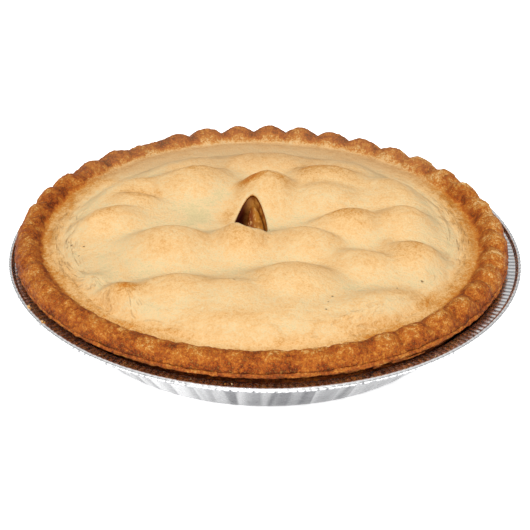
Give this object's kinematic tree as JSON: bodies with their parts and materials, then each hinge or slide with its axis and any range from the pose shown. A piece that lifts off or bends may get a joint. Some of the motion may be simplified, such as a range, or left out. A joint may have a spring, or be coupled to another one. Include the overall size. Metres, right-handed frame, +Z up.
{
  "type": "apple pie",
  "caption": "Baked double-crust apple pie in its round foil pan: lumpy pale golden lid with a cut vent that shows an apple slice, browned crimped rim, pleated silver pan.",
  "frame": {"origin": "middle of the pan's flat base, on the surface it stands on", "axes": "+Z up; -Y is the front, from which the vent shows, and +X is to the right"},
  "size_m": [0.2452, 0.2452, 0.0519],
  "materials": {
    "foil": "bright pressed foil, ribbed flange",
    "brown_crust": "baked golden-brown pastry, dry and flaky",
    "apple_filling": "soft cooked apple in dark syrup",
    "cooked_apple": "moist cooked apple flesh",
    "pale_crust": "pale golden pastry, browned at the rim"
  },
  "bodies": {
    "root": {"foil_pan": "foil", "bottom_crust": "brown_crust", "filling": "apple_filling", "apple_slice": "cooked_apple", "top_crust": "pale_crust"}
  },
  "joints": []
}
